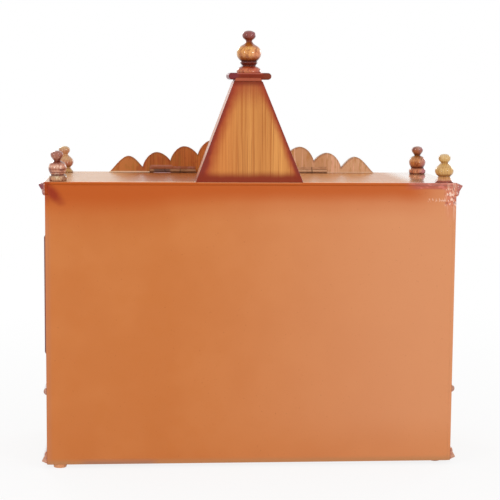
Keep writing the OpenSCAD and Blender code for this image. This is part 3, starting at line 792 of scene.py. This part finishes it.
def turned(node, outline, material, lean=0, lean_way=0):
    """A turned piece that stands where the node stands; lean tips it a little, in degrees."""
    low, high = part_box(node)
    foot = Vector(((low.x + high.x) / 2, (low.y + high.y) / 2, low.z))
    scale = (high.z - low.z) / outline[-1][1]
    spin = Matrix.Rotation(radians(lean_way), 4, "Z")
    tip = spin @ Matrix.Rotation(radians(lean), 4, "Y") @ spin.inverted()
    bm = bmesh.new()
    revolve(bm, [(0, 0)] + [(r * MM, h * scale) for r, h in outline], Matrix.Translation(foot) @ tip)
    dressed(node + "_made", bm, material, node, crease=TURNED_CREASE)


# Surroundings

FLOOR_REACH = 14
# Where the floor begins to turn to plain white, and where it is
FLOOR_FADE = (0.5, 2.5)
# Light of the room, and the share of white that the floor shows below the part
ROOM_LIGHT = 0.72
FLOOR_WHITE = 0.86


def make_floor():
    """A floor that fades to plain white away from the part, and is white in its lacquer."""
    coat = Finish("floor_white", Base_Color=tone(246, 246, 246), Roughness=0.9, Specular_IOR_Level=0)
    shown, mirrored, through = coat.views()
    away = coat.math("SQRT", coat.x * coat.x + coat.y * coat.y)
    shown = shown * (FLOOR_WHITE + coat.step(away, *FLOOR_FADE) * (1 - FLOOR_WHITE))
    glow = coat.node("Emission", {}, {"Color": (1, 1, 1), "Strength": 1})
    coat.blend(coat.most(shown, mirrored, through), coat.shader, glow, "Material Output")
    bm = bmesh.new()
    bmesh.ops.create_grid(bm, x_segments=8, y_segments=8, size=FLOOR_REACH)
    mesh = bpy.data.meshes.new("floor")
    bm.to_mesh(mesh)
    bm.free()
    mesh.materials.append(coat.material)
    floor = put("floor", mesh)


def make_world():
    """Soft light from all sides, plain white where the camera or the lacquer looks past the part."""
    world = bpy.data.worlds.new("studio")
    bpy.context.scene.world = world
    world.use_nodes = True
    tree = Tree(world.node_tree)
    soft = tree.nodes["Background"]
    tree.feed(soft.inputs["Color"], (1, 1, 1))
    tree.feed(soft.inputs["Strength"], ROOM_LIGHT)
    white = tree.node("Background", {}, {"Color": (1, 1, 1), "Strength": 1})
    tree.blend(tree.most(*tree.views()), soft, white, "World Output")
    bpy.context.scene.view_settings.view_transform = "Standard"


# The case

# How much narrower a foot is at the floor, in millimetres
FOOT_DRAW = 0.9
# The boards that mouldings and raised panels lie against
BOARDS = ("top_board", "side_left", "side_right", "base_front", "back_panel")


def make_case():
    eased("back_panel", back_paint(), 0.25 * MM, 2)
    eased("top_board", top_lacquer(), 1.6 * MM, 4, ("crown_left", "crown_right", "crown_front", "back_panel"))
    for side in SIDES:
        eased("side_" + side, side_lacquer(side), 1 * MM)
    for node, axes in (("bottom_board", "xy"), ("shelf_deck", "xy"), ("base_front", "xz")):
        eased(node, veneer(node, axes, "x", 16 * MM, 7))
    for side in SIDES:
        eased("post_" + side, veneer("post_" + side, "xz", "z", 9 * MM, 9))
    raised = raised_stain()
    strips = ("crown_", "waist_", "base_mould_")
    for side in SIDES:
        eased("raised_panel_" + side, raised, STRIP_EASE, against=BOARDS)
        stain = side_strip_stain(side)
        for strip in strips:
            eased(strip + side, stain, STRIP_EASE, against=BOARDS)
    plain = strip_stain()
    for strip in strips:
        eased(strip + "front", plain, STRIP_EASE, against=BOARDS)


def make_feet():
    """Round feet, their lower rims rounded over and drawn in a little."""
    paint = foot_paint()
    for end in ("front", "back"):
        for side in SIDES:
            node = f"foot_{end}_{side}"
            low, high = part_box(node)
            reach, height = (high.x - low.x) / 2 / MM, (high.z - low.z) / MM
            outline = arc((reach - FOOT_DRAW - 1, 1), (1, 1), -90, 0, 4) + [(reach, height), (0, height)]
            turned(node, outline, paint)


# The spire

def make_spire():
    face, flank = spire_face_veneer(), spire_side_veneer()
    for node in ("spire_back", "spire_front"):
        eased(node, face)
    for node in ("spire_left", "spire_right"):
        eased(node, flank, THIN_EASE)
    eased("spire_collar", collar_stain(), STRIP_EASE)
    eased("spire_cap", cap_stain(), THIN_EASE)


def curve(points, steps=5):
    """A smooth line through points of (radius, height)."""
    ends = [points[0], *points, points[-1]]
    line = []
    for before, start, end, after in zip(ends, ends[1:], ends[2:], ends[3:]):
        for i in range(steps):
            t = i / steps
            line.append(tuple(0.5 * (2 * b + (c - a) * t + (2 * a - 5 * b + 4 * c - d) * t * t
                                     + (3 * b - a - 3 * c + d) * t ** 3)
                              for a, b, c, d in zip(before, start, end, after)))
    return line + [points[-1]]


# Turned outlines: smooth runs of (radius, height) in millimetres, then the knob's rounded top as
# (radius, its widest level, its pole)
SPIRE_TURNING = (
    ((17.2, 0), (17.6, 1.4), (17.3, 3.6), (16.7, 5.2), (15.4, 6.9), (13.2, 8.3), (11, 9.4), (10, 10.3)),
    ((10, 10.6), (10.7, 12), (12, 13.6), (12.5, 14.8)),
    ((12.6, 15.2), (12.3, 16.2), (11.7, 17)),
    ((12.5, 17.8), (14.2, 19.6), (15.8, 21.8), (17, 24.4), (17.5, 27.4), (17.4, 30.6), (16.7, 33.4),
     (15.1, 36.2), (12.8, 38.4), (10.4, 39.9)),
    ((8.6, 41), (6.8, 42.4), (5.5, 44), (4.7, 45.4), (4.5, 46.4), (4.8, 47.2)),
    ((5.6, 48), (7.2, 49.3), (8.7, 50.9), (9.6, 53), (9.7, 55.2)),
    (9.7, 55.4, 61.5))
# A foot ring and a round ball
RINGED_TURNING = (
    ((12, 0), (12.9, 1.4), (13.2, 4), (12.8, 6.6), (11.4, 8.8), (9.8, 9.8)),
    ((10.2, 10.6), (11.9, 13.6), (12.9, 17.4), (12.9, 20), (11.6, 24), (9.2, 26.8), (5.6, 28.6)),
    ((4.7, 29.3), (5, 30.2), (6.6, 32.4), (8.4, 35.2), (9, 38)),
    (9, 38.3, 43.8))
# A flared foot, and a ball that draws in to its neck like a pear
PEAR_TURNING = (
    ((12.7, 0), (13.2, 0.7), (12.9, 1.6), (11.6, 3.2), (10, 5.6), (9.1, 8), (8.9, 9)),
    ((9.6, 9.6), (11.8, 11.6), (13.2, 14.4), (13.5, 17), (12.9, 19.8), (10.9, 22.6), (8.2, 25.2),
     (6.2, 27.2), (5.5, 28.4)),
    ((5.6, 29.2), (6.4, 30.2), (7.8, 31.8), (8.7, 34), (8.7, 36)),
    (8.6, 36.4, 41.5))


def finial(node, turning, coat, **lean):
    """A turned finial from its outline."""
    *runs, (radius, widest, pole) = turning
    outline = [point for run in runs for point in curve(run)]
    outline += arc((0, widest), (radius, pole - widest), 0, 90, 12)[1:]
    turned(node, outline, coat, **lean)


def make_finials():
    gold = turned_finish(
        "turned_gold", "spire_finial",
        (0, 224, 132, 90), (0.06, 218, 122, 74), (0.12, 190, 80, 36), (0.17, 84, 22, 8), (0.25, 112, 32, 4),
        (0.28, 64, 14, 4), (0.33, 160, 84, 36), (0.42, 229, 159, 91), (0.58, 231, 157, 78),
        (0.65, 176, 90, 26), (0.74, 130, 52, 4), (0.84, 136, 56, 42), (1, 158, 92, 86),
        side=(0.96, 0.8, 1.1), light=(1.15, 1.5, 1.6))
    finial("spire_finial", SPIRE_TURNING, gold)
    pale = turned_finish(
        "turned_pale", "finial_back_left",
        (0, 130, 44, 30), (0.05, 150, 60, 38), (0.1, 216, 150, 100), (0.18, 202, 142, 76),
        (0.23, 136, 82, 30), (0.32, 206, 156, 88), (0.5, 222, 176, 108), (0.64, 214, 168, 98),
        (0.69, 176, 122, 58), (0.78, 214, 172, 104), (1, 228, 190, 132),
        light=(1.08, 1.15, 1.3), dark=(0.85, 0.74, 0.6))
    red = turned_finish(
        "turned_red", "finial_front_left",
        (0, 104, 36, 16), (0.08, 218, 140, 98), (0.17, 204, 124, 78), (0.23, 96, 32, 12),
        (0.34, 196, 118, 66), (0.5, 220, 150, 86), (0.62, 180, 112, 52), (0.68, 100, 46, 16),
        (0.8, 176, 106, 66), (1, 178, 122, 104),
        side=(0.74, 0.54, 1.4), dark=(0.5, 0.3, 0.28), shift=7)
    pink = turned_finish(
        "turned_pink", "finial_back_right",
        (0, 110, 36, 22), (0.07, 204, 152, 110), (0.16, 198, 150, 112), (0.21, 98, 38, 24),
        (0.26, 210, 148, 120), (0.3, 138, 68, 48), (0.34, 224, 164, 134), (0.38, 164, 94, 66),
        (0.5, 230, 162, 132), (0.64, 130, 56, 36), (0.8, 170, 100, 76), (1, 176, 116, 100),
        light=(1.3, 1.9, 2.2), dark=(0.42, 0.22, 0.2), shift=4)
    straw = turned_finish(
        "turned_straw", "finial_front_right",
        (0, 150, 96, 40), (0.12, 206, 162, 84), (0.24, 150, 92, 44), (0.34, 190, 120, 96),
        (0.5, 210, 156, 110), (0.66, 212, 160, 110), (0.8, 200, 142, 104), (1, 220, 182, 130),
        light=(1.1, 1.2, 1.2), dark=(0.8, 0.6, 0.62), shift=11)
    finial("finial_back_left", PEAR_TURNING, pale)
    finial("finial_front_left", RINGED_TURNING, red, lean=0.8)
    finial("finial_back_right", RINGED_TURNING, pink, lean=2.4)
    finial("finial_front_right", PEAR_TURNING, straw, lean=1.6, lean_way=10)


# Scalloped boards

def scallops(node, top):
    """The scalloped edge of a board as lobes of (start, end, swell), read from the node's outline."""
    columns = {}
    for vertex in frame["nodes"][node].data.vertices:
        x, z = round(vertex.co.x, 6), vertex.co.z
        columns[x] = max(columns.get(x, z), z) if top else min(columns.get(x, z), z)
    xs = sorted(columns)
    cusps = [0] + [i for i in range(1, len(xs) - 1)
                   if columns[xs[i]] < min(columns[xs[i - 1]], columns[xs[i + 1]])] + [len(xs) - 1]
    lobes = []
    for first, last in zip(cusps, cusps[1:]):
        start, end = Vector((xs[first], columns[xs[first]])), Vector((xs[last], columns[xs[last]]))
        span = end.x - start.x
        swells = [columns[x] - start.lerp(end, (x - start.x) / span).y for x in xs[first:last + 1]]
        lobes.append((start, end, max(swells, key=abs)))
    return lobes


LOBE_STEPS = 22
FACE_ROWS = 9
RIM_EASE = 0.9 * MM
# Shape of a lobe as (skew, power) of its sine, counted from its outer notch
LOBE_PLAIN = (1, 0.65)
LOBE_CREST = (0.83, 0.78)
LOBE_END = (1.15, 1.1)


def scallop_line(lobes, shapes):
    """Points along the lobes, closer together near the notches; shapes has a lobe's shape for each."""
    points = []
    for (start, end, swell), (skew, power) in zip(lobes, shapes):
        outward = abs(end.x) > abs(start.x)
        for i in range(LOBE_STEPS):
            share = (1 - cos(pi * i / LOBE_STEPS)) / 2
            along = (1 - share if outward else share) ** skew
            rise = swell * max(0, sin(pi * along)) ** power
            points.append(start.lerp(end, share) + Vector((0, rise)))
    points.append(lobes[-1][1].copy())
    return points


def inward(points, inside):
    """Unit vectors from each point of a line into the board, which lies on the side `inside`."""
    ways = []
    for i in range(len(points)):
        before, after = points[max(i - 1, 0)], points[min(i + 1, len(points) - 1)]
        run = (after - before).normalized()
        way = Vector((-run.y, run.x))
        ways.append(way if way.y * inside > 0 else -way)
    return ways


def rim_distance(point, line):
    """Distance from a point to a line of points."""
    nearest = 1.0
    for a, b in zip(line, line[1:]):
        run = b - a
        share = max(0, min(1, (point - a).dot(run) / max(run.length_squared, 1e-12)))
        nearest = min(nearest, (point - a - run * share).length)
    return nearest


def lobe_shapes(count, top):
    """The shape of each lobe; those of a board with its scallops on top mirror about the middle one."""
    if not top:
        return [LOBE_PLAIN] * count
    half = [LOBE_END] + [LOBE_CREST] * ((count - 1) // 2 - 1)
    return half + [LOBE_PLAIN] + half[::-1]


def rim_section(foot, point, way, low, high):
    """A cut through the board from its straight edge to the scallops, as ((x, z) vector, y) points."""
    inner = point + way * min(RIM_EASE, (point - foot).length * 0.5)
    face = [foot.lerp(inner, 1 - (1 - i / FACE_ROWS) ** 1.6) for i in range(FACE_ROWS)]
    turn = [radians(90 * i / 3) for i in range(4)]
    over = [(inner.lerp(point, sin(a)), RIM_EASE * (1 - cos(a))) for a in turn]
    half = [(p, 0) for p in face] + over
    return [(p, high.y - dip) for p, dip in half] + [(p, low.y + dip) for p, dip in reversed(half)]


def scalloped(node, material, top):
    """A board between a straight edge and scallops, as columns of faces, with a rounded rim."""
    low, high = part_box(node)
    lobes = scallops(node, top)
    edge = scallop_line(lobes, lobe_shapes(len(lobes), top))
    bm = bmesh.new()
    rim = bm.verts.layers.float.new("rim")
    loops = []
    for point, way in zip(edge, inward(edge, -1 if top else 1)):
        foot = Vector((point.x, low.z if top else high.z))
        loop = []
        for flat, y in rim_section(foot, point, way, low, high):
            vertex = bm.verts.new((flat.x, y, flat.y))
            vertex[rim] = rim_distance(flat, edge)
            loop.append(vertex)
        loops.append(loop)
    for one, two in zip(loops, loops[1:]):
        for i in range(len(one)):
            j = (i + 1) % len(one)
            bm.faces.new((one[i], one[j], two[j], two[i]))
    bm.faces.new(loops[0])
    bm.faces.new(loops[-1])
    bmesh.ops.remove_doubles(bm, verts=bm.verts, dist=2 * WELD)
    bmesh.ops.dissolve_degenerate(bm, edges=bm.edges, dist=WELD)
    dressed(node + "_made", bm, material, node)


def make_scalloped_boards():
    scalloped("crest_board", crest_veneer(), True)
    scalloped("front_arch", arch_veneer(), False)


# Hinges

# The gap round what moves, the sheet's thickness, and the radii of a knuckle's bore and the pin
HINGE_GAP = 0.4 * MM
HINGE_SHEET = 1 * MM
HINGE_BORE = 1.45 * MM
HINGE_PIN = 1.3 * MM
# Height of a pin's head, the radius of a screw and half the width of its slot
PIN_HEAD = 0.8 * MM
SCREW_REACH = 1.3 * MM
SCREW_SLOT = 0.22 * MM
# Levels of a screw: its foot in the sheet, its rim and its top
SCREW_LEVELS = (-0.2 * MM, 0.1 * MM, 0.4 * MM)
ALONG_X = Matrix.Rotation(radians(90), 4, "Y")


def plate(bm, low, high, radius):
    """A flat bar with its edges rounded over."""
    made = bmesh.ops.create_cube(bm, size=1)["verts"]
    for vertex in made:
        vertex.co = Vector([(a + b) / 2 + c * (b - a) for a, b, c in zip(low, high, vertex.co)])
    edges = dict.fromkeys(e for v in made for e in v.link_edges)
    bmesh.ops.bevel(bm, geom=list(edges), offset=radius, segments=2, profile=0.5, affect="EDGES")


def knuckle(bm, x0, x1, y, z, outer):
    """A rolled knuckle along X with eased rims, open for the pin."""
    ease = 0.25 * MM
    length = x1 - x0
    outline = [(HINGE_BORE, 0), (outer - ease, 0), (outer, ease), (outer, length - ease),
               (outer - ease, length), (HINGE_BORE, length)]
    revolve(bm, outline, Matrix.Translation((x0, y, z)) @ ALONG_X, 40, closed=True)


def screw(bm, place, turn):
    """A small slotted screw head on the Z axis of place."""
    reach, slot = SCREW_REACH, SCREW_SLOT
    foot, rim, top = SCREW_LEVELS
    place = place @ Matrix.Rotation(turn, 4, "Z")
    revolve(bm, [(0, foot), (reach, foot), (reach, rim), (0, rim)], place, 24)
    opening = asin(slot / reach)
    for side in (0, pi):
        turns = [side + opening + (pi - 2 * opening) * i / 12 for i in range(13)]
        low = [bm.verts.new(place @ Vector((reach * cos(a), reach * sin(a), rim))) for a in turns]
        high = [bm.verts.new(place @ Vector((0.8 * reach * cos(a), 0.8 * reach * sin(a)
                                             + 0.2 * slot * sin(a), top))) for a in turns]
        bm.faces.new(high)
        bm.faces.new(list(reversed(low)))
        for i in range(len(low)):
            j = (i + 1) % len(low)
            bm.faces.new((low[i], low[j], high[j], high[i]))


def hinge_leaf(side, y, z, outer, third, screws):
    """The moving leaf: a middle knuckle, and a sheet that stands up from it."""
    low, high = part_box("hinge_leaf_" + side)
    middle = (low.x + high.x) / 2
    start, end, sheet = middle - third / 2, middle + third / 2, low.y + HINGE_SHEET
    bm = bmesh.new()
    knuckle(bm, start, end, y, z, outer)
    plate(bm, (low.x, low.y, z + outer + HINGE_GAP), (high.x, sheet, high.z), 0.2 * MM)
    plate(bm, (start, low.y, z + 0.6 * outer), (end, sheet, z + outer + 2 * HINGE_GAP), 0.15 * MM)
    upright = Matrix.Rotation(radians(-90), 4, "X")
    for i, x in enumerate(screws):
        at = (x, sheet, (z + outer + HINGE_GAP + high.z) / 2)
        screw(bm, Matrix.Translation(at) @ upright, 0.5 + 1.3 * i)
    return bm


def hinge_plate(side, y, z, outer, third, screws):
    """The fixed plate: a sheet that lies on the top board, and a knuckle at each end."""
    low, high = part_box("hinge_plate_" + side)
    far, sheet = y + outer + HINGE_GAP, low.z + HINGE_SHEET
    bm = bmesh.new()
    plate(bm, (low.x, far, low.z), (high.x, high.y, sheet), 0.2 * MM)
    for x0 in (low.x, high.x - third):
        knuckle(bm, x0, x0 + third, y, z, outer)
        plate(bm, (x0, y + 0.6 * outer, low.z), (x0 + third, far + HINGE_GAP, sheet), 0.15 * MM)
    for i, x in enumerate(screws):
        screw(bm, Matrix.Translation((x, (far + high.y) / 2, sheet)), 0.9 + 1.1 * i)
    return bm


def hinge_pin(side, y, z):
    """The pin, with a rounded head at each end."""
    low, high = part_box("hinge_pin_" + side)
    length = high.x - low.x
    head = [(0, 0)] + arc((0, PIN_HEAD), ((high.z - low.z) / 2, PIN_HEAD), -70, 0, 4)
    outline = head + [(HINGE_PIN, PIN_HEAD), (HINGE_PIN, length - PIN_HEAD)]
    outline += [(r, length - h) for r, h in reversed(head)]
    bm = bmesh.new()
    revolve(bm, outline, Matrix.Translation((low.x, y, z)) @ ALONG_X, 32)
    return bm


def make_hinges():
    steel = hinge_steel()
    for side in SIDES:
        low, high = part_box("hinge_leaf_" + side)
        pin_low, pin_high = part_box("hinge_pin_" + side)
        y, z = (pin_low.y + pin_high.y) / 2, (pin_low.z + pin_high.z) / 2
        middle, length = (low.x + high.x) / 2, high.x - low.x
        screws = [middle + share * length for share in (-0.4, 0, 0.4)]
        sizes = (y, z, y - low.y, (length - 2 * HINGE_GAP) / 3, screws)
        for part, bm in (("leaf", hinge_leaf(side, *sizes)), ("plate", hinge_plate(side, *sizes)),
                         ("pin", hinge_pin(side, y, z))):
            node = f"hinge_{part}_{side}"
            dressed(node + "_made", bm, steel, node)


make_camera()
make_world()
make_lamps()
make_floor()
make_case()
make_feet()
make_spire()
make_finials()
make_scalloped_boards()
make_hinges()
